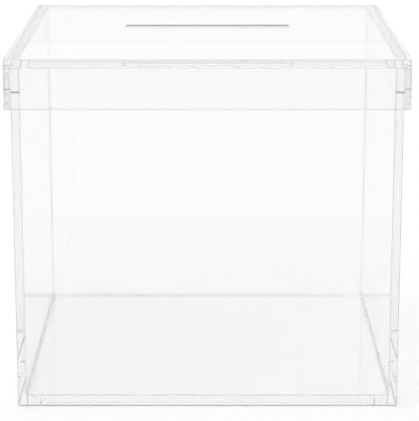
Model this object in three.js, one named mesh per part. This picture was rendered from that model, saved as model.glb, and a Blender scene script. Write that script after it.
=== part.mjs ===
// A clear acrylic card box: an open box of five bonded panels, and a lift-off lid with a card slot.
// Millimetres, +Z up. The origin is at the middle of the underside, and the front faces -Y.
import * as THREE from 'three';

// Outer size of the box, without its lid.
const BOX_WIDTH = 254;
const BOX_DEPTH = 254;
const BOX_HEIGHT = 230;

// Sheet thicknesses of the box.
const WALL_THICKNESS = 5;
const BASE_THICKNESS = 6;

// The lid: a top panel on four thin skirts that hang down around the box.
const LID_TOP_THICKNESS = 5;
const SKIRT_THICKNESS = 3;
const SKIRT_HEIGHT = 27.5;
const SKIRT_CLEARANCE = 1;

// The card slot, cut through the lid's top panel, with rounded corners.
const SLOT_LENGTH = 118;
const SLOT_WIDTH = 10;
const SLOT_BEHIND_CENTRE = 17;
const SLOT_CORNER_RADIUS = 1.5;
const SLOT_CORNER_SEGMENTS = 4;

// Planes of the box walls, measured from the origin.
const boxRight = BOX_WIDTH / 2;
const boxBack = BOX_DEPTH / 2;
const roomRight = boxRight - WALL_THICKNESS;
const roomBack = boxBack - WALL_THICKNESS;

// Planes of the lid: its skirts stand clear of the box all round, and its top rests on the rim.
const skirtInnerRight = boxRight + SKIRT_CLEARANCE;
const skirtInnerBack = boxBack + SKIRT_CLEARANCE;
const lidRight = skirtInnerRight + SKIRT_THICKNESS;
const lidBack = skirtInnerBack + SKIRT_THICKNESS;
const lidTop = BOX_HEIGHT + LID_TOP_THICKNESS;
const skirtFoot = BOX_HEIGHT - SKIRT_HEIGHT;

const AXES = ['x', 'y', 'z'];

// Each piece has its own clear material, because each is cut from its own sheet.
function clearAcrylic() {
  return new THREE.MeshStandardMaterial({
    color: '#f5f7f7',
    roughness: 0.05,
    metalness: 0,
    transparent: true,
    opacity: 0.35,
  });
}

// Moves each end of a solid to an exact plane, so that bonded pieces share their face.
function fitBetween(geometry, axis, low, high) {
  geometry.computeBoundingBox();
  const { min, max } = geometry.boundingBox;
  const middle = (min[axis] + max[axis]) / 2;
  const component = AXES.indexOf(axis);
  const points = geometry.attributes.position;
  for (let i = 0; i < points.count; i += 1) {
    const isLow = points.getComponent(i, component) < middle;
    points.setComponent(i, component, isLow ? low : high);
  }
}

// A rectangular sheet between two planes on each axis.
function sheet(name, [left, right], [front, back], [foot, top]) {
  const geometry = new THREE.BoxGeometry();
  fitBetween(geometry, 'x', left, right);
  fitBetween(geometry, 'y', front, back);
  fitBetween(geometry, 'z', foot, top);
  const mesh = new THREE.Mesh(geometry, clearAcrylic());
  mesh.name = name;
  return mesh;
}

// The outline of the card slot: four straight sides and four rounded corners.
function slotOutline() {
  const right = SLOT_LENGTH / 2 - SLOT_CORNER_RADIUS;
  const front = SLOT_BEHIND_CENTRE - SLOT_WIDTH / 2 + SLOT_CORNER_RADIUS;
  const back = SLOT_BEHIND_CENTRE + SLOT_WIDTH / 2 - SLOT_CORNER_RADIUS;
  const quarter = Math.PI / 2;
  const outline = new THREE.Path();
  outline.absarc(right, front, SLOT_CORNER_RADIUS, -quarter, 0);
  outline.absarc(right, back, SLOT_CORNER_RADIUS, 0, quarter);
  outline.absarc(-right, back, SLOT_CORNER_RADIUS, quarter, 2 * quarter);
  outline.absarc(-right, front, SLOT_CORNER_RADIUS, 2 * quarter, 3 * quarter);
  outline.closePath();
  return outline;
}

// The lid's top panel, cut right through by the slot.
function slottedTop(name) {
  const outline = new THREE.Shape();
  outline.moveTo(-lidRight, -lidBack);
  outline.lineTo(lidRight, -lidBack);
  outline.lineTo(lidRight, lidBack);
  outline.lineTo(-lidRight, lidBack);
  outline.closePath();
  outline.holes.push(slotOutline());
  const geometry = new THREE.ExtrudeGeometry(outline, {
    depth: LID_TOP_THICKNESS,
    bevelEnabled: false,
    curveSegments: SLOT_CORNER_SEGMENTS,
  });
  fitBetween(geometry, 'z', BOX_HEIGHT, lidTop);
  const mesh = new THREE.Mesh(geometry, clearAcrylic());
  mesh.name = name;
  return mesh;
}

// The box: front and back panels run the full width, with the side panels and the base between them.
function makeBox() {
  const group = new THREE.Group();
  const fullWidth = [-boxRight, boxRight];
  const betweenFrontAndBack = [-roomBack, roomBack];
  const fullHeight = [0, BOX_HEIGHT];
  group.add(sheet('box_front_panel', fullWidth, [-boxBack, -roomBack], fullHeight));
  group.add(sheet('box_back_panel', fullWidth, [roomBack, boxBack], fullHeight));
  group.add(sheet('box_left_panel', [-boxRight, -roomRight], betweenFrontAndBack, fullHeight));
  group.add(sheet('box_right_panel', [roomRight, boxRight], betweenFrontAndBack, fullHeight));
  group.add(sheet('box_base_panel', [-roomRight, roomRight], betweenFrontAndBack, [0, BASE_THICKNESS]));
  return group;
}

// The lid: front and back skirts run the full width, with the side skirts between them.
function makeLid() {
  const group = new THREE.Group();
  const fullWidth = [-lidRight, lidRight];
  const betweenFrontAndBack = [-skirtInnerBack, skirtInnerBack];
  const skirtSpan = [skirtFoot, BOX_HEIGHT];
  group.add(slottedTop('lid_top_panel'));
  group.add(sheet('lid_front_skirt', fullWidth, [-lidBack, -skirtInnerBack], skirtSpan));
  group.add(sheet('lid_back_skirt', fullWidth, [skirtInnerBack, lidBack], skirtSpan));
  group.add(sheet('lid_left_skirt', [-lidRight, -skirtInnerRight], betweenFrontAndBack, skirtSpan));
  group.add(sheet('lid_right_skirt', [skirtInnerRight, lidRight], betweenFrontAndBack, skirtSpan));
  return group;
}

const cardBox = new THREE.Group();
cardBox.add(makeBox());
cardBox.add(makeLid());

export default cardBox;
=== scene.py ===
"""A clear acrylic wedding card box, dressed over its CAD frame.

The frame gives the place and size of each of the ten sheets. Each sheet is rebuilt as a closed surface with
scraped arrises, with beads of cement in its inside corners, and with cemented faces that light crosses
without a break, apart from a short gap in each front corner of the lid and of the box; the faces in these
gaps are tinted dark as painted shade. The lid's top has a slot with an eased lip, tinted dark along the back
as painted shade. The arrises along the feet of the box are darkened as a painted contact shadow, those along
the feet of the lid's long skirts are darkened as painted shade, and every scraped arris has a half tint that
is painted shade for the dark lines along the edges. All the sheets share one finish, cast acrylic, and stand
on a plain pale floor in soft studio light.
"""

import logging
import math
from dataclasses import dataclass, field
from enum import Enum
from typing import Any, Mapping, Optional, Sequence, Union

import bpy
import numpy as np
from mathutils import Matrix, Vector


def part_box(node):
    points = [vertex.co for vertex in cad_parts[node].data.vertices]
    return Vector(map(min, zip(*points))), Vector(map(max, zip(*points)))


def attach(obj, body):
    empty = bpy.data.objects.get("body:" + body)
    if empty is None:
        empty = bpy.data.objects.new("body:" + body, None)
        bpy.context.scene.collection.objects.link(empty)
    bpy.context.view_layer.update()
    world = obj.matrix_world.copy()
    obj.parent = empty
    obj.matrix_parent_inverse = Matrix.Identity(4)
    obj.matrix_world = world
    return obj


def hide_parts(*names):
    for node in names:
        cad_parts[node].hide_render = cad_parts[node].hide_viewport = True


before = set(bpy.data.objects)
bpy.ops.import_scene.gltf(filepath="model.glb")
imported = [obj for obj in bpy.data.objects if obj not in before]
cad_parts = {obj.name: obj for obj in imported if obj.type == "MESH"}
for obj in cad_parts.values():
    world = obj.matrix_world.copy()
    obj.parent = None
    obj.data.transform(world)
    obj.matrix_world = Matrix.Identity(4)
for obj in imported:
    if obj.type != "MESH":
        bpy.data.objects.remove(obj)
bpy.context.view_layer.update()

MM = 0.001
PHOTO_HEIGHT = 421

# Air left where one sheet is cemented to the next, and where the lid rests on the rim.
CEMENT_FILM = 0.02 * MM
REST_FILM = 0.05 * MM

# Numbers of a Mix node's colour sockets, which come after those for numbers and vectors.
MIX_START = 6
MIX_END = 7
MIX_RESULT = 2

log = logging.getLogger("card_box")


class Across(Enum):
    """The direction in which a sheet is thin. The value is the number of that axis."""

    SIDEWAYS = 0
    FORWARDS = 1
    UPWARDS = 2


class Side(Enum):
    """A side of a sheet's outline, as the axis that it ends and which end of it: 0 is low and 1 is high."""

    LEFT = (0, 0)
    RIGHT = (0, 1)
    FRONT = (1, 0)
    BACK = (1, 1)
    BOTTOM = (2, 0)
    TOP = (2, 1)


class Face(Enum):
    """One of a sheet's two faces, counted along the direction in which it is thin."""

    LOW = 0
    HIGH = 1


class Mark(Enum):
    """What a face of a mesh is, where it isn't plain cast face. The value names the mesh's attribute."""

    CEMENTED = "cemented"
    EDGE = "polished_edge"
    SAWN = "sawn_edge"
    # Scraped arrises are rough and also tinted half dark: painted shade for the dark lines along the edges.
    ARRIS = "scraped_arris"
    CLEAR_BEAD = "clear_bead"
    CLOUDY_BEAD = "cloudy_bead"
    # Painted shade: faces tinted dark on the slot's back lip, the darkened feet and the gaps in the cement.
    DARK = "dark_cut"


class Body(Enum):
    """The two rigid bodies of the CAD frame."""

    BOX = "box"
    LID = "lid"


class Value:
    """One output socket, with the arithmetic that turns expressions into Math nodes."""

    def __init__(self, graph: "NodeGraph", socket: bpy.types.NodeSocket) -> None:
        """Holds the socket and the graph that it belongs to."""
        self.graph = graph
        self.socket = socket

    def __add__(self, other: "Number") -> "Value":
        """The sum."""
        return self.graph.math("ADD", self, other)

    def __radd__(self, other: "Number") -> "Value":
        """The sum, with the number first."""
        return self.graph.math("ADD", other, self)

    def __sub__(self, other: "Number") -> "Value":
        """The difference."""
        return self.graph.math("SUBTRACT", self, other)

    def __rsub__(self, other: "Number") -> "Value":
        """The difference, with the number first."""
        return self.graph.math("SUBTRACT", other, self)

    def __mul__(self, other: "Number") -> "Value":
        """The product."""
        return self.graph.math("MULTIPLY", self, other)

    def __rmul__(self, other: "Number") -> "Value":
        """The product, with the number first."""
        return self.graph.math("MULTIPLY", other, self)

    def __pow__(self, other: "Number") -> "Value":
        """The power."""
        return self.graph.math("POWER", self, other)

    def at_least(self, limit: float) -> "Value":
        """The value, or the limit where that is larger."""
        return self.graph.math("MAXIMUM", self, limit)

    def band(self, start: float, end: float) -> "Value":
        """A smooth rise from 0 at start to 1 at end.

        Args:
            start: Value at which the rise begins.
            end: Value at which it is complete.

        Returns:
            The risen value, between 0 and 1.
        """
        ramp = self.graph.add(
            "ShaderNodeMapRange",
            {"interpolation_type": "SMOOTHSTEP"},
            {"Value": self, "From Min": start, "From Max": end},
        )
        return ramp["Result"]


Number = Union[Value, float]


class Node:
    """A node whose outputs are read by name as values."""

    def __init__(self, graph: "NodeGraph", node: bpy.types.Node) -> None:
        """Holds the node and its graph."""
        self.graph = graph
        self.node = node

    def __getitem__(self, output: Union[str, int]) -> Value:
        """The output of that name or number."""
        return Value(self.graph, self.node.outputs[output])


class NodeGraph:
    """Adds nodes to one material's or world's node tree."""

    def __init__(self, tree: bpy.types.NodeTree) -> None:
        """Empties the tree and starts to build in it."""
        self.tree = tree
        self.tree.nodes.clear()

    def add(
        self,
        kind: str,
        settings: Optional[Mapping[str, Any]] = None,
        inputs: Optional[Mapping[Union[str, int], Any]] = None,
    ) -> Node:
        """Adds any node.

        Args:
            kind: Blender's name for the type of node.
            settings: Properties of the node, which are set first.
            inputs: A value or a link for each socket named.

        Returns:
            The new node.
        """
        node = self.tree.nodes.new(kind)
        for name, setting in (settings or {}).items():
            setattr(node, name, setting)
        for name, given in (inputs or {}).items():
            if isinstance(given, Value):
                self.tree.links.new(given.socket, node.inputs[name])
            else:
                node.inputs[name].default_value = given
        return Node(self, node)

    def math(self, operation: str, first: Number, second: Number) -> Value:
        """A Math node.

        Args:
            operation: Blender's name for the sum to be done.
            first: Its first term.
            second: Its second term.

        Returns:
            The result.
        """
        return self.add("ShaderNodeMath", {"operation": operation}, {0: first, 1: second})["Value"]

    def mix(self, share: Number, start: Any, end: Any) -> Value:
        """A colour between two others.

        Args:
            share: 0 for the start colour, 1 for the end colour.
            start: Colour, or its value.
            end: Colour, or its value.

        Returns:
            The mixed colour.
        """
        inputs = {"Factor": share, MIX_START: start, MIX_END: end}
        return self.add("ShaderNodeMix", {"data_type": "RGBA"}, inputs)[MIX_RESULT]

    def mark(self, mark: Mark) -> Value:
        """What the mesh holds under that mark."""
        return self.add("ShaderNodeAttribute", {"attribute_name": mark.value})["Fac"]

    def noise(self, place: Value, scale: float, detail: float) -> Value:
        """Smooth noise between 0 and 1.

        Args:
            place: Coordinates to read it at.
            scale: Number of its features to the metre.
            detail: Number of finer layers added.

        Returns:
            The noise.
        """
        node = self.add("ShaderNodeTexNoise", None, {"Vector": place, "Scale": scale, "Detail": detail})
        return node["Fac"]

    def stretched(self, place: Value, scale: Sequence[float], turn: Sequence[float]) -> Value:
        """Coordinates turned and stretched by a Mapping node.

        Args:
            place: Coordinates to start from.
            scale: Stretch on each axis.
            turn: Turn about each axis, in degrees.

        Returns:
            The new coordinates.
        """
        angles = [math.radians(angle) for angle in turn]
        inputs = {"Vector": place, "Rotation": angles, "Scale": scale}
        return self.add("ShaderNodeMapping", None, inputs)["Vector"]


def grey(level: float) -> tuple[float, float, float, float]:
    """An opaque grey of that level."""
    return (level, level, level, 1.0)


@dataclass(frozen=True)
class Polish:
    """How a surface of a sheet is left.

    Attributes:
        tint: What it lets through, from 0 to 1.
        roughness: How rough it is, from 0 to 1.
    """

    tint: float
    roughness: float


@dataclass(frozen=True)
class ClearAcrylic:
    """Cast acrylic sheet: clear faces, edges polished by machine, scraped arrises, and beads of cement.

    Scales are features to the metre, details are the finer layers added to them, and heights are in metres.
    Between the two values of a band, what a noise stands for rises from nothing to its full.

    Attributes:
        refraction: Index of refraction.
        absorption: How fast the solid takes up light, to the metre.
        face: The cast faces.
        edge: Edges, polished and sawn.
        arris: Scraped arrises: rough, with a half tint that is painted shade for the dark lines along the
            edges.
        bead: Beads of cement.
        dark: Painted shade: the dark tint of the slot's back lip, of the darkened arrises along the feet and
            of the gaps in the cement.
        frost_tone: Tone of the matt white that shows where a surface is frosted.
        frost_roughness: Roughness of that white.
        edge_frost: Share of it on every edge.
        sawn_frost: Share that a sawn edge has besides.
        bead_frost: Share on a cloudy bead.
        bead_gap: Share of a clear bead's surface that light crosses as if there were none.
        smear_tint: Share of the faces' tint that a smear leaves.
        smear_roughness: What a smear or a scratch adds to their roughness.
        smear_scale, smear_detail, smear_band: The smears.
        scratch_scale, scratch_detail, scratch_band: The scratches.
        scratch_stretch: How the scratches are drawn out on each axis.
        scratch_turn: How they are turned about each axis, in degrees.
        scratch_height: Their depth.
        grain_scale, grain_detail, grain_height: The grain of worked surfaces.
        grain_depth: Share of a tint that it takes off at most.
        grain_least: Share of a roughness or frosting where the grain is least.
        grain_range: What the grain adds to that share at most.
    """

    refraction: float = 1.49
    absorption: float = 0.4
    face: Polish = Polish(tint=0.98, roughness=0.003)
    edge: Polish = Polish(tint=1.0, roughness=0.005)
    # The half tint of the arrises is painted shade for the dark lines along the edges.
    arris: Polish = Polish(tint=0.5, roughness=0.3)
    bead: Polish = Polish(tint=0.8, roughness=0.25)
    # A dark tint painted as shade on the slot's back lip, the arrises of the feet and the gaps in the
    # cement.
    dark: Polish = Polish(tint=0.18, roughness=0.4)
    frost_tone: float = 0.85
    frost_roughness: float = 0.5
    edge_frost: float = 0.03
    sawn_frost: float = 0.4
    bead_frost: float = 0.5
    bead_gap: float = 0.75
    smear_tint: float = 0.996
    smear_roughness: float = 0.01
    smear_scale: float = 11.0
    smear_detail: float = 3.0
    smear_band: tuple[float, float] = (0.5, 0.8)
    scratch_scale: float = 60.0
    scratch_detail: float = 2.0
    scratch_band: tuple[float, float] = (0.7, 0.78)
    scratch_stretch: tuple[float, float, float] = (1.0, 26.0, 3.0)
    scratch_turn: tuple[float, float, float] = (20.0, 35.0, 15.0)
    scratch_height: float = 0.000001
    grain_scale: float = 900.0
    grain_detail: float = 2.0
    grain_height: float = 0.000001
    grain_depth: float = 0.03
    grain_least: float = 0.8
    grain_range: float = 0.4

    def material(self) -> bpy.types.Material:
        """The finish as a material.

        What each face is comes from the marks on the mesh. Cemented faces are left out, so that light
        crosses a joint as it crosses solid acrylic.

        Returns:
            The material.
        """
        finish = bpy.data.materials.new("clear_acrylic")
        finish.use_nodes = True
        graph = NodeGraph(finish.node_tree)
        where = graph.add("ShaderNodeTexCoord")["Object"]
        marks = {mark: graph.mark(mark) for mark in Mark}
        beads = marks[Mark.CLEAR_BEAD] + marks[Mark.CLOUDY_BEAD]
        worked = marks[Mark.EDGE] + marks[Mark.ARRIS] + beads + marks[Mark.DARK]

        smears = graph.noise(where, self.smear_scale, self.smear_detail).band(*self.smear_band)
        strokes = graph.stretched(where, self.scratch_stretch, self.scratch_turn)
        scratches = graph.noise(strokes, self.scratch_scale, self.scratch_detail).band(*self.scratch_band)
        grain = graph.noise(where, self.grain_scale, self.grain_detail)
        uneven = self.grain_least + self.grain_range * grain

        tone = graph.mix(smears, grey(self.face.tint), grey(self.face.tint * self.smear_tint))
        sheen = (self.face.roughness + (smears + scratches) * self.smear_roughness) * (1.0 - worked)
        for part, polish in (
            (marks[Mark.EDGE], self.edge),
            (marks[Mark.ARRIS], self.arris),
            (beads, self.bead),
            (marks[Mark.DARK], self.dark),
        ):
            grained = grey(polish.tint * (1.0 - self.grain_depth))
            tone = graph.mix(part, tone, graph.mix(grain, grey(polish.tint), grained))
            sheen = sheen + part * polish.roughness * uneven

        height = grain * self.grain_height * worked - scratches * self.scratch_height * (1.0 - worked)
        bump = graph.add("ShaderNodeBump", None, {"Strength": 1.0, "Distance": 1.0, "Height": height})
        clear = graph.add(
            "ShaderNodeBsdfPrincipled",
            None,
            {
                "Base Color": tone,
                "Roughness": sheen,
                "IOR": self.refraction,
                "Transmission Weight": 1.0,
                "Alpha": 1.0 - marks[Mark.CEMENTED] - self.bead_gap * marks[Mark.CLEAR_BEAD],
                "Normal": bump["Normal"],
            },
        )
        frost = graph.add(
            "ShaderNodeBsdfPrincipled",
            None,
            {
                "Base Color": grey(self.frost_tone),
                "Roughness": self.frost_roughness,
                "Normal": bump["Normal"],
            },
        )
        frosted = (
            marks[Mark.EDGE] * self.edge_frost
            + marks[Mark.SAWN] * self.sawn_frost
            + marks[Mark.CLOUDY_BEAD] * self.bead_frost
        )
        share = frosted * uneven * (1.0 - marks[Mark.CEMENTED])
        shader = graph.add("ShaderNodeMixShader", None, {0: share, 1: clear[0], 2: frost[0]})
        solid = graph.add(
            "ShaderNodeVolumeAbsorption", None, {"Color": grey(0.0), "Density": self.absorption}
        )
        graph.add("ShaderNodeOutputMaterial", None, {"Surface": shader[0], "Volume": solid[0]})
        return finish


@dataclass(frozen=True)
class PaleFloor:
    """A plain matt studio floor, laid far beyond the box on every side.

    Attributes:
        half_width: How far it reaches to each side, in metres.
        towards_camera: How far it reaches forwards.
        towards_backdrop: How far it reaches backwards.
        drop: How far it lies below the underside of the box.
        tone: Its tone, from 0 to 1.
        mottle: Share of that tone that is left where it is darkest.
        mottle_scale: Number of clouds in it to the metre.
        mottle_detail: Number of finer layers of them.
        roughness: Its least roughness.
        roughness_range: What the clouds add to that at most.
    """

    half_width: float = 8.0
    towards_camera: float = 10.0
    towards_backdrop: float = 10.0
    drop: float = 0.05 * MM
    tone: float = 0.79
    mottle: float = 0.985
    mottle_scale: float = 40.0
    mottle_detail: float = 4.0
    roughness: float = 0.9
    roughness_range: float = 0.1

    def material(self) -> bpy.types.Material:
        """The floor's matt finish, very slightly mottled.

        Returns:
            The material.
        """
        finish = bpy.data.materials.new("pale_floor")
        finish.use_nodes = True
        graph = NodeGraph(finish.node_tree)
        where = graph.add("ShaderNodeTexCoord")["Object"]
        cloud = graph.noise(where, self.mottle_scale, self.mottle_detail)
        tone = graph.mix(cloud, grey(self.tone), grey(self.tone * self.mottle))
        shader = graph.add(
            "ShaderNodeBsdfPrincipled",
            None,
            {
                "Base Color": tone,
                "Roughness": self.roughness + self.roughness_range * cloud,
                "Specular IOR Level": 0.0,
            },
        )
        graph.add("ShaderNodeOutputMaterial", None, {"Surface": shader[0]})
        return finish

    def build(self) -> None:
        """Lays the floor just under the box: one level rectangle on a two by two grid."""
        sides = (-self.half_width, self.half_width)
        across, along = np.meshgrid(sides, (-self.towards_camera, self.towards_backdrop))
        points = np.column_stack((across.ravel(), along.ravel(), np.full(across.size, -self.drop)))
        mesh = bpy.data.meshes.new("floor")
        mesh.from_pydata(points.tolist(), [], [(0, 1, 3, 2)])
        mesh.materials.append(self.material())
        floor = bpy.data.objects.new("floor", mesh)
        bpy.context.scene.collection.objects.link(floor)


@dataclass
class Surface:
    """A closed surface of four-sided faces, with what the finish needs to know of each face.

    Attributes:
        points: Place of each point, in metres.
        faces: Four point numbers for each face.
        marks: For each mark, how far each face has it, from 0 to 1.
    """

    points: np.ndarray
    faces: np.ndarray
    marks: Mapping[Mark, np.ndarray]

    def outward(self) -> np.ndarray:
        """The faces, all turned round if they enclose a negative volume.

        The volume is a third of the sum, over the faces, of the scalar product of a face's middle and its
        area vector, which is half the cross product of its diagonals.

        Returns:
            The faces, pointing outwards.
        """
        corners = self.points[self.faces]
        areas = np.cross(corners[:, 2] - corners[:, 0], corners[:, 3] - corners[:, 1]) / 2.0
        volume = np.sum(corners.mean(axis=1) * areas) / 3.0
        return self.faces if volume > 0.0 else self.faces[:, ::-1]

    def piece(self, name: str, finish: bpy.types.Material) -> bpy.types.Object:
        """Makes the surface an object.

        Args:
            name: Name of the piece.
            finish: Its material.

        Returns:
            The object, at the origin.
        """
        mesh = bpy.data.meshes.new(name)
        mesh.from_pydata(self.points.tolist(), [], self.outward().tolist())
        for mark in Mark:
            layer = mesh.attributes.new(mark.value, "FLOAT", "FACE")
            layer.data.foreach_set("value", self.marks[mark].astype(np.float32))
        mesh.materials.append(finish)
        piece = bpy.data.objects.new(name, mesh)
        bpy.context.scene.collection.objects.link(piece)
        return piece


def bead_rise(distance: np.ndarray, radius: float) -> np.ndarray:
    """Height of a bead of cement above a face, at a distance from the wall it is drawn up.

    The bead is a hollow quarter circle: its height is the radius less the root of the radius squared less
    the square of what is left of the radius at that distance. Beyond one radius there is no bead.

    Args:
        distance: Distance from the wall.
        radius: Radius of the bead.

    Returns:
        Height at each distance.
    """
    left = np.clip(radius - distance, 0.0, radius)
    return radius - np.sqrt(radius**2 - left**2)


# Grid lines along a sheet's two axes.
Lines = Sequence[np.ndarray]


@dataclass(frozen=True)
class Sheet:
    """A rectangular sheet that stands for one CAD node.

    Attributes:
        node: Name of the node.
        across: Direction in which the sheet is thin.
        inside: The face that looks into the box.
        cemented: Sides whose edge is cemented to another sheet.
        strips: Width of the strip along each side of the inside face that another sheet is cemented to.
        beads: Radius of the bead of cement that rises from the inside face along each side that has one.
        cloudy: How cloudy the bead along each side named has dried, from 0 to 1.
        arris: Radius of the scraped arrises.
        worn: Radius of the arrises along sides where it is another.
        painted_shade: How far the arrises along each side named are darkened as painted shade, from 0 to 1.
        sawn: Sides whose edge is left as the saw cut it.
        gap: Heights between which the cement has missed the upright strips, or nothing; the faces there are
            tinted dark as painted shade.
        arris_steps: Number of faces round an arris.
        bead_steps: Number of faces across a bead.
    """

    node: str
    across: Across
    inside: Face
    cemented: frozenset[Side] = frozenset()
    strips: Mapping[Side, float] = field(default_factory=dict)
    beads: Mapping[Side, float] = field(default_factory=dict)
    cloudy: Mapping[Side, float] = field(default_factory=dict)
    arris: float = 0.5 * MM
    worn: Mapping[Side, float] = field(default_factory=dict)
    painted_shade: Mapping[Side, float] = field(default_factory=dict)
    sawn: frozenset[Side] = frozenset()
    gap: tuple[float, ...] = ()
    arris_steps: int = 4
    bead_steps: int = 4

    def axes(self) -> tuple[int, int]:
        """The two axes that the sheet lies along."""
        return (self.across.value + 1) % 3, (self.across.value + 2) % 3

    def along_rim(self, values: Mapping[Side, float], other: float, lines: Lines) -> np.ndarray:
        """Carries a value of each side round the rim, in the order in which the rim is numbered.

        Args:
            values: Value on each side named.
            other: Value on the other sides.
            lines: Grid lines along the sheet's two axes.

        Returns:
            Value at each cell round the rim.
        """
        first, second = self.axes()
        sides = [Side(value) for value in ((second, 0), (first, 1), (second, 1), (first, 0))]
        cells = (lines[0].size - 1, lines[1].size - 1)
        return np.repeat([values.get(side, other) for side in sides], cells * 2)

    def rounded(self, side: Side, face: Face) -> float:
        """How far an arris is rounded in: none where the sheet is cemented.

        Args:
            side: Side of the outline.
            face: Face that the arris borders.

        Returns:
            Radius of the arris, or 0.
        """
        if side in self.cemented or (face is self.inside and side in self.strips):
            return 0.0
        return self.worn.get(side, self.arris)

    def lines(self, axis: int, low: float, high: float) -> np.ndarray:
        """Grid lines across the sheet: its ends, the borders of its strips, and the steps of its beads.

        Args:
            axis: Axis that the lines are set out along.
            low: Lower end of the sheet.
            high: Upper end of the sheet.

        Returns:
            Places of the lines, in order.
        """
        turns = np.linspace(0.0, math.pi / 2.0, self.bead_steps + 1)[:-1]
        from_ends = []
        for side in (Side((axis, 0)), Side((axis, 1))):
            bead = self.beads[side] * (1.0 - np.sin(turns)) if side in self.beads else []
            strip = [self.strips[side]] if side in self.strips else []
            from_ends.append(np.concatenate(([0.0], bead, strip)))
        gap = self.gap if axis == Side.TOP.value[0] else ()
        return np.sort(np.concatenate((low + from_ends[0], high - from_ends[1], gap)))

    def rise(self, grid: np.ndarray, low: np.ndarray, high: np.ndarray) -> np.ndarray:
        """Height of cement at each point of the inside face: the highest of the beads along its sides.

        Args:
            grid: Points of the face.
            low: Lowest corner of the sheet.
            high: Highest corner of the sheet.

        Returns:
            Height at each point.
        """
        heights = np.zeros(grid.shape[:2])
        for side, radius in self.beads.items():
            axis, end = side.value
            distance = high[axis] - grid[..., axis] if end else grid[..., axis] - low[axis]
            heights = np.maximum(heights, bead_rise(distance, radius))
        return heights

    def face(self, face: Face, lines: Lines, low: np.ndarray, high: np.ndarray) -> np.ndarray:
        """One face as a grid, with its outermost lines drawn in by the arris radius and its beads raised.

        Args:
            face: Which face.
            lines: Grid lines along the sheet's two axes.
            low: Lowest corner of the sheet.
            high: Highest corner of the sheet.

        Returns:
            Place of each point of the grid.
        """
        thin = self.across.value
        drawn = []
        for axis, places in zip(self.axes(), lines):
            start, end = self.rounded(Side((axis, 0)), face), self.rounded(Side((axis, 1)), face)
            drawn.append(np.clip(places, low[axis] + start, high[axis] - end))
        grid = np.empty((lines[0].size, lines[1].size, 3))
        grid[..., self.axes()[0]], grid[..., self.axes()[1]] = np.meshgrid(*drawn, indexing="ij")
        grid[..., thin] = (low, high)[face.value][thin]
        if face is self.inside:
            grid[..., thin] += (2 * face.value - 1) * self.rise(grid, low, high)
        return grid

    def band(
        self, rims: Sequence[np.ndarray], outline: np.ndarray, radius: np.ndarray, ends: Sequence[float]
    ) -> np.ndarray:
        """The band round the sheet's edge: a quarter circle, a straight edge and another quarter circle.

        At each angle a point lies from the rim of the face towards the outline by the sine, and off the face
        by the arris radius times one less the cosine.

        Args:
            rims: Points round the low face and round the high face.
            outline: Points round the outline.
            radius: Radius of the arris at each of these points.
            ends: Where the low face and the high face lie.

        Returns:
            Rings of points, from the low face to the high face.
        """
        thin = self.across.value
        turns = np.linspace(0.0, math.pi / 2.0, self.arris_steps + 1)[1:]
        towards = np.sin(turns)[:, None, None]
        off_face = radius * (1.0 - np.cos(turns))[:, None]
        lower = rims[0] + (outline - rims[0]) * towards
        lower[..., thin] = ends[0] + off_face
        upper = rims[1] + (outline - rims[1]) * towards
        upper[..., thin] = ends[1] - off_face
        return np.concatenate((lower, upper[::-1]))

    def surface(self, low: np.ndarray, high: np.ndarray) -> Surface:
        """The sheet's two faces as grids, joined by a band carried round its outline.

        Args:
            low: Lowest corner of the sheet.
            high: Highest corner of the sheet.

        Returns:
            The closed surface.
        """
        first, second = self.axes()
        thin = self.across.value
        lines = (self.lines(first, low[first], high[first]), self.lines(second, low[second], high[second]))
        numbers = np.arange(lines[0].size * lines[1].size).reshape(lines[0].size, lines[1].size)
        rim = np.concatenate((numbers[:-1, 0], numbers[-1, :-1], numbers[:0:-1, -1], numbers[0, :0:-1]))
        grids = [self.face(face, lines, low, high).reshape(-1, 3) for face in Face]
        outline = grids[0][rim]
        outline[:, first] = np.repeat(lines[0], lines[1].size)[rim]
        outline[:, second] = np.tile(lines[1], lines[0].size)[rim]
        radius = self.along_rim(self.worn, self.arris, lines)
        band = self.band([grid[rim] for grid in grids], outline, radius, (low[thin], high[thin]))

        band_numbers = 2 * numbers.size + np.arange(band.shape[0] * rim.size).reshape(-1, rim.size)
        rings = np.concatenate((rim[None], band_numbers, rim[None] + numbers.size))
        following = np.roll(rings, -1, axis=1)
        band_faces = np.stack((rings[:-1], following[:-1], following[1:], rings[1:]), axis=-1)
        corners = (numbers[:-1, :-1], numbers[:-1, 1:], numbers[1:, 1:], numbers[1:, :-1])
        low_faces = np.stack(corners, axis=-1)
        high_faces = low_faces[..., ::-1] + numbers.size
        faces = np.concatenate([part.reshape(-1, 4) for part in (low_faces, high_faces, band_faces)])
        return Surface(np.concatenate((*grids, band.reshape(-1, 3))), faces, self.marks(lines))

    def marks(self, lines: Lines) -> dict[Mark, np.ndarray]:
        """Which faces have each mark: first those of the low face, then the high face, then the band.

        Args:
            lines: Grid lines along the sheet's two axes.

        Returns:
            For each mark, how far each face has it, from 0 to 1.
        """
        cells = (lines[0].size - 1, lines[1].size - 1)
        no_band = np.zeros((2 * self.arris_steps + 1, 2 * sum(cells)))
        arris = no_band.copy()
        for face, rows in zip(Face, (slice(self.arris_steps), slice(self.arris_steps + 1, None))):
            round_sides = {side: float(self.rounded(side, face) > 0.0) for side in Side}
            arris[rows] = self.along_rim(round_sides, 0.0, lines)
        on_band = {
            Mark.CEMENTED: no_band + self.along_rim(dict.fromkeys(self.cemented, 1.0), 0.0, lines),
            Mark.EDGE: 1.0 - arris,
            Mark.SAWN: (1.0 - arris) * self.along_rim(dict.fromkeys(self.sawn, 1.0), 0.0, lines),
            Mark.ARRIS: arris,
            # Arrises along the sides named are tinted dark: painted shade, a contact shadow where the box
            # stands.
            Mark.DARK: arris * self.along_rim(self.painted_shade, 0.0, lines),
        }

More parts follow.
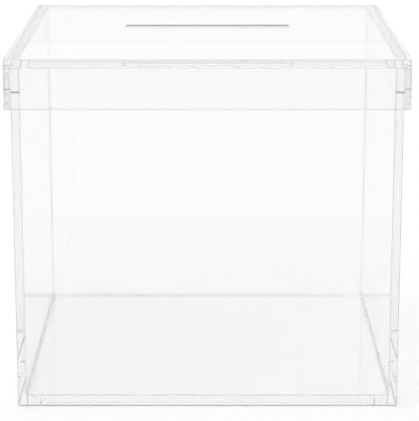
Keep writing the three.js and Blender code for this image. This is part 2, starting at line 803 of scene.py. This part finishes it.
        gap = self.in_gap(lines)
        strip = self.near_sides(self.strips, lines) * (1.0 - gap)
        bead = self.near_sides(self.beads, lines) * (1.0 - strip)
        cloudy = np.zeros(cells)
        for side, share in self.cloudy.items():
            cloudy = np.maximum(cloudy, share * self.near_sides({side: self.beads[side]}, lines))
        on_inside = {
            Mark.CEMENTED: strip,
            Mark.CLEAR_BEAD: bead * (1.0 - cloudy),
            Mark.CLOUDY_BEAD: bead * cloudy,
            # The faces where the cement has missed are tinted dark: painted shade for the dark dash that the
            # corner shows.
            Mark.DARK: gap,
        }

        no_face = np.zeros(cells)
        found = {}
        for mark in Mark:
            inside = on_inside.get(mark, no_face)
            both = (inside, no_face) if self.inside is Face.LOW else (no_face, inside)
            found[mark] = np.concatenate([part.ravel() for part in (*both, on_band.get(mark, no_band))])
        return found

    def in_gap(self, lines: Lines) -> np.ndarray:
        """Marks the cells of the upright strips that the cement has missed.

        Args:
            lines: Grid lines along the sheet's two axes.

        Returns:
            1 in those cells and 0 elsewhere.
        """
        if not self.gap:
            return np.zeros((lines[0].size - 1, lines[1].size - 1))
        uprights = {side: self.strips[side] for side in (Side.LEFT, Side.RIGHT)}
        heights = lines[self.axes().index(Side.TOP.value[0])]
        middles = (heights[:-1] + heights[1:]) / 2.0
        missed = (middles > self.gap[0]) & (middles < self.gap[1])
        level = missed[:, None] if heights is lines[0] else missed[None, :]
        return self.near_sides(uprights, lines) * level

    def near_sides(self, widths: Mapping[Side, float], lines: Lines) -> np.ndarray:
        """Marks the cells of a face that lie within given distances of its sides.

        Args:
            widths: Distance from each side named.
            lines: Grid lines along the sheet's two axes.

        Returns:
            1 in the cells near those sides and 0 elsewhere.
        """
        found = []
        for axis, places in zip(self.axes(), lines):
            middles = (places[:-1] + places[1:]) / 2.0
            near = middles < places[0] + widths.get(Side((axis, 0)), 0.0)
            far = middles > places[-1] - widths.get(Side((axis, 1)), 0.0)
            found.append(near | far)
        return (found[0][:, None] | found[1]).astype(float)


@dataclass(frozen=True)
class SlottedTop:
    """The lid's top sheet, with a round-cornered slot routed through it.

    Attributes:
        node: Name of the CAD node.
        slot_length: Length of the slot.
        slot_width: Width of the slot.
        slot_corner: Radius of its corners.
        slot_behind: Distance of the slot's middle line behind the middle of the lid.
        slot_lip: Width of the eased upper lip along the slot's long sides, tinted dark along the back as
            painted shade.
        slot_lip_depth: Depth of that lip.
        clear_ends: Number of faces at each end of the back lip that are not painted dark.
        strip: Width of the strip under its edge that the skirts are cemented to.
        top_arris: Radius of the scraped arrises.
        arris_steps: Number of faces round an arris and round the lip.
        side_points: Points along each side of the outline and of the slot, a multiple of six.
        straight_share: Share of the points along a side of the slot that run straight, between its corners.
    """

    node: str = "lid_top_panel"
    slot_length: float = 118 * MM
    slot_width: float = 10 * MM
    slot_corner: float = 1.5 * MM
    slot_behind: float = 17 * MM
    slot_lip: float = 4.0 * MM
    slot_lip_depth: float = 0.7 * MM
    clear_ends: int = 1
    strip: float = 3.8 * MM
    top_arris: float = 0.15 * MM
    arris_steps: int = 4
    side_points: int = 12
    straight_share: float = 2.0 / 3.0

    def rectangle(self, half: np.ndarray, drawn_in: np.ndarray) -> np.ndarray:
        """Rings round the outline, one for each distance that it is drawn in.

        A ring runs along the front, the right, the back and the left, with evenly spaced points on each.

        Args:
            half: Half width and half depth of the sheet.
            drawn_in: Distance of each ring inside the outline.

        Returns:
            Place of each point of each ring, seen from above.
        """
        step = np.linspace(-1.0, 1.0, self.side_points, endpoint=False)
        edge = np.ones(self.side_points)
        along = np.concatenate((step, edge, -step, -edge))
        back = np.concatenate((-edge, step, edge, -step))
        sizes = half[None, :] - drawn_in[:, None]
        return np.stack((sizes[:, :1] * along, sizes[:, 1:] * back), axis=-1)

    def slot(self, wider: np.ndarray) -> np.ndarray:
        """Rings round the slot, one for each distance that its long sides lie outside it.

        A ring runs along the front, the right, the back and the left. Each of these starts halfway round one
        corner and ends halfway round the next: its points turn through an eighth of a circle at each end,
        about a centre one corner radius inside the slot, and run straight between. The distance outside is
        added to the radius from front to back alone, so that the ends of the slot stay where they are.

        Args:
            wider: Distance of each ring's long sides outside the slot.

        Returns:
            Place of each point of each ring, seen from above.
        """
        step = np.linspace(-1.0, 1.0, self.side_points, endpoint=False)
        straight = np.clip(step / self.straight_share, -1.0, 1.0)
        turn = (step - straight * self.straight_share) / (1.0 - self.straight_share) * math.pi / 4.0
        edge = np.ones(self.side_points)
        along = np.concatenate((straight, edge, -straight, -edge))
        back = np.concatenate((-edge, straight, edge, -straight))
        heading = np.concatenate([turn + quarter * math.pi / 2.0 for quarter in (-1, 0, 1, 2)])
        half_length = self.slot_length / 2.0 - self.slot_corner
        half_width = self.slot_width / 2.0 - self.slot_corner
        radius = self.slot_corner + wider[:, None]
        behind = half_width * back + radius * np.sin(heading) + self.slot_behind
        beside = half_length * along + self.slot_corner * np.cos(heading)
        return np.stack((np.broadcast_to(beside, behind.shape), behind), axis=-1)

    def surface(self, low: np.ndarray, high: np.ndarray) -> Surface:
        """A closed profile carried round the outline and the slot at once.

        The profile runs outwards under the sheet, up its edge, round the top arris, inwards over the top,
        and down the slot with an eased lip above and an arris below. The arrises are quarter circles, and
        the lip is a quarter of an ellipse.

        Args:
            low: Lowest corner of the sheet.
            high: Highest corner of the sheet.

        Returns:
            The closed surface.
        """
        half = (high - low)[:2] / 2.0
        turns = np.linspace(0.0, math.pi / 2.0, self.arris_steps + 1)
        sines = 1.0 - np.sin(turns)
        cosines = 1.0 - np.cos(turns)
        outline_in = np.concatenate(([self.strip, 0.0], self.top_arris * cosines))
        outline_height = np.concatenate(([low[2], low[2]], high[2] - self.top_arris * sines))
        slot_out = np.concatenate((self.slot_lip * sines, self.top_arris * cosines))
        lip_height = high[2] - self.slot_lip_depth * cosines
        slot_height = np.concatenate((lip_height, low[2] + self.top_arris * sines))

        flat = np.concatenate((self.rectangle(half, outline_in), self.slot(slot_out)))
        heights = np.concatenate((outline_height, slot_height))[:, None, None]
        rings = np.concatenate((flat, np.broadcast_to(heights, (*flat.shape[:2], 1))), axis=-1)

        numbers = np.arange(rings.shape[0] * rings.shape[1]).reshape(rings.shape[:2])
        above = np.roll(numbers, -1, axis=0)
        beside = np.roll(numbers, -1, axis=1)
        faces = np.stack((numbers, beside, np.roll(above, -1, axis=1), above), axis=-1)
        return Surface(rings.reshape(-1, 3), faces.reshape(-1, 4), self.marks(numbers.shape))

    def marks(self, shape: tuple[int, int]) -> dict[Mark, np.ndarray]:
        """Which faces have each mark, ring by ring.

        Args:
            shape: Number of rings, and of faces round each.

        Returns:
            For each mark, 1 on the faces that have it and 0 on the others.
        """
        under, edge, arris, over, lip, wall = np.cumsum((0, 1, 1, self.arris_steps, 1, self.arris_steps))
        back, left = 2 * self.side_points, 3 * self.side_points
        found = {mark: np.zeros(shape) for mark in Mark}
        found[Mark.CEMENTED][under] = 1.0
        found[Mark.EDGE][edge] = 1.0
        found[Mark.ARRIS][arris:over] = 1.0
        # The back of the lip is tinted dark: painted shade for the dark look of the slot.
        found[Mark.DARK][lip:wall, back + self.clear_ends : left - self.clear_ends] = 1.0
        return {mark: values.ravel() for mark, values in found.items()}


def drawn_back(node: str, films: Mapping[Side, float]) -> tuple[np.ndarray, np.ndarray]:
    """Corners of a CAD node, with a thin film of air left on the sides named.

    Args:
        node: Name of the node.
        films: Thickness of the film on each side.

    Returns:
        Lowest and highest corner.
    """
    corners = [np.array(corner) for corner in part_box(node)]
    for side, film in films.items():
        axis, end = side.value
        corners[end][axis] += -film if end else film
    return corners[0], corners[1]


def place(surface: Surface, node: str, body: Body, finish: bpy.types.Material) -> None:
    """Puts a finished sheet into the frame in place of its CAD node.

    Args:
        surface: The sheet's surface.
        node: CAD node that it stands for.
        body: Body that it moves with.
        finish: Its material.
    """
    piece = surface.piece(node.replace("panel", "sheet").replace("skirt", "strip"), finish)
    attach(piece, body.value)
    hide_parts(node)
    log.info("%s: %d faces, on %s", piece.name, len(surface.faces), body.value)


@dataclass(frozen=True)
class BoxBody:
    """The open box: full-width front and back, with the sides and the base cemented between them.

    Attributes:
        wall: Thickness of the walls.
        base: Thickness of the base.
        front_bead: Radius of the beads up the front corners.
        back_bead: Radius of the beads up the back corners and along the back of the floor.
        floor_front_bead: Radius of the bead along the front of the floor.
        floor_side_bead: Radius of the beads along the sides of the floor.
        floor_side_cloud: How cloudy those have dried, from 0 to 1.
        foot_arris: Radius of the arrises along the feet of the walls.
        foot_painted_shade: How far those are darkened as a painted contact shadow, from 0 to 1.
        gap_low: Height at which the gap in the cement of the front corners starts.
        gap_high: Height at which it ends.
    """

    wall: float = 5 * MM
    base: float = 6 * MM
    front_bead: float = 0.8 * MM
    back_bead: float = 1.2 * MM
    floor_front_bead: float = 1.0 * MM
    floor_side_bead: float = 1.2 * MM
    floor_side_cloud: float = 0.3
    foot_arris: float = 0.8 * MM
    foot_painted_shade: float = 0.4
    gap_low: float = 212.3 * MM
    gap_high: float = 213.5 * MM

    def sheets(self) -> tuple[Sheet, ...]:
        """The five sheets of the box and how they are joined.

        Returns:
            The sheets.
        """
        front_post = self.wall + self.front_bead
        back_post = self.wall + self.back_bead
        front_strips = {
            Side.LEFT: front_post,
            Side.RIGHT: front_post,
            Side.BOTTOM: self.base + self.floor_front_bead,
        }
        back_strips = {Side.LEFT: back_post, Side.RIGHT: back_post, Side.BOTTOM: self.base + self.back_bead}
        side_strips = {Side.BOTTOM: self.base + self.floor_side_bead}
        wall_beads = {Side.FRONT: self.front_bead, Side.BACK: self.back_bead}
        base_beads = {
            Side.LEFT: self.floor_side_bead,
            Side.RIGHT: self.floor_side_bead,
            Side.FRONT: self.floor_front_bead,
            Side.BACK: self.back_bead,
        }
        ends = frozenset(wall_beads)
        front_cloudy = {Side.FRONT: 1.0}
        base_cloudy = {**front_cloudy, Side.LEFT: self.floor_side_cloud, Side.RIGHT: self.floor_side_cloud}
        # The arrises of the feet are tinted dark: a painted contact shadow where the box stands on the
        # floor.
        foot = {"worn": {Side.BOTTOM: self.foot_arris}, "painted_shade": {Side.BOTTOM: self.foot_painted_shade}}
        side = {"cemented": ends, "strips": side_strips, "beads": wall_beads, "cloudy": front_cloudy, **foot}
        gap = (self.gap_low, self.gap_high)
        return (
            Sheet("box_front_panel", Across.FORWARDS, Face.HIGH, strips=front_strips, gap=gap, **foot),
            Sheet("box_back_panel", Across.FORWARDS, Face.LOW, strips=back_strips, **foot),
            Sheet("box_left_panel", Across.SIDEWAYS, Face.HIGH, **side),
            Sheet("box_right_panel", Across.SIDEWAYS, Face.LOW, **side),
            Sheet(
                "box_base_panel",
                Across.UPWARDS,
                Face.HIGH,
                cemented=frozenset(base_beads),
                beads=base_beads,
                cloudy=base_cloudy,
            ),
        )

    def build(self, finish: bpy.types.Material) -> None:
        """Builds and dresses the five sheets.

        Args:
            finish: Material of the sheets.
        """
        for sheet in self.sheets():
            films = dict.fromkeys(sheet.cemented, CEMENT_FILM)
            if sheet.across is not Across.UPWARDS:
                films[Side.TOP] = REST_FILM
            place(sheet.surface(*drawn_back(sheet.node, films)), sheet.node, Body.BOX, finish)


@dataclass(frozen=True)
class Lid:
    """The lift-off lid: a slotted top on four skirts, of which the front and back ones are long.

    Attributes:
        skirt: Thickness of the skirts.
        lid_bead: Radius of the beads under the top and up the corners.
        skirt_arris: Radius of the skirts' arrises.
        skirt_painted_shade: How far the arrises along the feet of the long skirts are darkened as painted
            shade, 0 to 1.
        lid_gap_low: Height at which the gap in the cement of the front corners starts.
        lid_gap_high: Height at which it ends.
    """

    skirt: float = 3 * MM
    lid_bead: float = 0.8 * MM
    skirt_arris: float = 0.35 * MM
    skirt_painted_shade: float = 0.3
    lid_gap_low: float = 215.5 * MM
    lid_gap_high: float = 216.1 * MM

    def skirts(self) -> tuple[Sheet, ...]:
        """The four skirts and how they are joined.

        Returns:
            The skirts.
        """
        post = self.skirt + self.lid_bead
        posts = {Side.LEFT: post, Side.RIGHT: post}
        top = {Side.TOP: self.lid_bead}
        ends = {Side.FRONT: self.lid_bead, Side.BACK: self.lid_bead, Side.TOP: self.lid_bead}
        gap = (self.lid_gap_low, self.lid_gap_high)
        foot = frozenset((Side.BOTTOM,))
        # The arrises along the feet of the long skirts are tinted dark: painted shade.
        long_skirt = {
            "cemented": frozenset(top),
            "strips": posts,
            "beads": top,
            "cloudy": dict.fromkeys(top, 1.0),
            "arris": self.skirt_arris,
            "painted_shade": dict.fromkeys(foot, self.skirt_painted_shade),
        }
        short_skirt = {
            "cemented": frozenset(ends),
            "beads": ends,
            "cloudy": dict.fromkeys(ends, 1.0),
            "arris": self.skirt_arris,
            "sawn": foot,
        }
        return (
            Sheet("lid_front_skirt", Across.FORWARDS, Face.HIGH, gap=gap, **long_skirt),
            Sheet("lid_back_skirt", Across.FORWARDS, Face.LOW, **long_skirt),
            Sheet("lid_left_skirt", Across.SIDEWAYS, Face.HIGH, **short_skirt),
            Sheet("lid_right_skirt", Across.SIDEWAYS, Face.LOW, **short_skirt),
        )

    def build(self, finish: bpy.types.Material) -> None:
        """Builds and dresses the top and the four skirts.

        Args:
            finish: Material of the sheets.
        """
        top = SlottedTop(strip=self.skirt + self.lid_bead)
        place(top.surface(*drawn_back(top.node, {})), top.node, Body.LID, finish)
        for sheet in self.skirts():
            films = dict.fromkeys(sheet.cemented, CEMENT_FILM)
            place(sheet.surface(*drawn_back(sheet.node, films)), sheet.node, Body.LID, finish)


@dataclass(frozen=True)
class SoftStudio:
    """Light from all round: a bright backdrop, a large soft lamp nearly overhead, and a dimmer room.

    Attributes:
        around: Brightness all round.
        backdrop: What the backdrop adds to it.
        camera_side: What the side behind the camera adds to it, less than 0 where it is dimmer.
        ceiling: What the ceiling adds to it.
        lamp: What the lamp adds to it.
        lamp_from: Direction of the lamp.
        lamp_core: Angle from its middle within which the lamp is at its full brightness, in degrees.
        lamp_rim: Angle at which it ends.
        side_falloff: Power of a direction's backward or forward share that the backdrop and the side behind
            the camera follow.
        ceiling_falloff: Power of its upward share that the ceiling follows.
        crossings: Most faces that one ray may cross.
        matt_bounces: Most times that it may bounce off matt surfaces.
    """

    around: float = 0.57
    backdrop: float = 0.395
    camera_side: float = -0.15
    ceiling: float = 0.55
    lamp: float = 1.22
    lamp_from: tuple[float, float, float] = (-0.2, -0.06, 1.0)
    lamp_core: float = 10.0
    lamp_rim: float = 48.0
    side_falloff: float = 2.0
    ceiling_falloff: float = 1.5
    crossings: int = 48
    matt_bounces: int = 6

    def build(self) -> None:
        """Sets the world's light, which changes smoothly with direction."""
        world = bpy.data.worlds.new("soft_studio")
        world.use_nodes = True
        graph = NodeGraph(world.node_tree)
        heading = graph.add("ShaderNodeTexCoord")["Generated"]
        axes = graph.add("ShaderNodeSeparateXYZ", None, {"Vector": heading})
        behind = axes["Y"].at_least(0.0)
        ahead = (0.0 - axes["Y"]).at_least(0.0)
        above = axes["Z"].at_least(0.0)
        aim = np.array(self.lamp_from) / np.linalg.norm(self.lamp_from)
        terms = {0: heading, 1: aim.tolist()}
        facing = graph.add("ShaderNodeVectorMath", {"operation": "DOT_PRODUCT"}, terms)["Value"]
        core, rim = (math.cos(math.radians(angle)) for angle in (self.lamp_core, self.lamp_rim))
        level = (
            self.around
            + self.backdrop * behind**self.side_falloff
            + self.camera_side * ahead**self.side_falloff
            + self.ceiling * above**self.ceiling_falloff
            + self.lamp * facing.band(rim, core)
        )
        light = graph.add("ShaderNodeBackground", None, {"Color": grey(1.0), "Strength": level})
        graph.add("ShaderNodeOutputWorld", None, {"Surface": light[0]})
        bpy.context.scene.world = world

    def trace_through(self) -> None:
        """Lets light cross many faces of clear sheet, without softening what it meets beyond them."""
        scene = bpy.context.scene
        scene.cycles.max_bounces = self.crossings
        scene.cycles.transmission_bounces = self.crossings
        scene.cycles.glossy_bounces = self.crossings
        scene.cycles.transparent_max_bounces = self.crossings
        scene.cycles.diffuse_bounces = self.matt_bounces
        scene.cycles.blur_glossy = 0.0
        scene.view_settings.view_transform = "Standard"


@dataclass(frozen=True)
class PhotoCamera:
    """A long lens at the photo's viewpoint: level across, looking down at the front.

    Lengths are in metres, and the focal length and the picture's offset are in pixels of the photo.

    Attributes:
        away: Distance in front of the middle of the box.
        height: Height above its underside.
        pitch_degrees: Angle at which it looks down.
        focal_pixels: Focal length.
        offset_pixels: How far the picture is moved sideways.
        sensor_mm: Height of the sensor, in millimetres.
        nearest: Nearest distance at which it sees anything.
    """

    away: float = 1.331
    height: float = 0.4323
    pitch_degrees: float = 13.87
    focal_pixels: float = 1896.8
    offset_pixels: float = 2.05
    sensor_mm: float = 36.0
    nearest: float = 0.01

    def build(self) -> None:
        """Places the camera and makes it the scene's."""
        lens = bpy.data.cameras.new("photo_camera")
        lens.sensor_fit = "VERTICAL"
        lens.sensor_height = self.sensor_mm
        lens.lens = self.focal_pixels / PHOTO_HEIGHT * self.sensor_mm
        lens.shift_x = self.offset_pixels / PHOTO_HEIGHT
        lens.clip_start = self.nearest
        camera = bpy.data.objects.new("photo_camera", lens)
        camera.location = (0.0, -self.away, self.height)
        camera.rotation_euler = (math.radians(90.0 - self.pitch_degrees), 0.0, 0.0)
        bpy.context.scene.collection.objects.link(camera)
        bpy.context.scene.camera = camera


def main() -> None:
    """Builds the card box, its floor, its light and its camera."""
    logging.basicConfig(level=logging.INFO, format="%(name)s %(message)s")
    finish = ClearAcrylic().material()
    BoxBody().build(finish)
    Lid().build(finish)
    PaleFloor().build()
    studio = SoftStudio()
    studio.build()
    studio.trace_through()
    PhotoCamera().build()


if __name__ == "__main__":
    main()
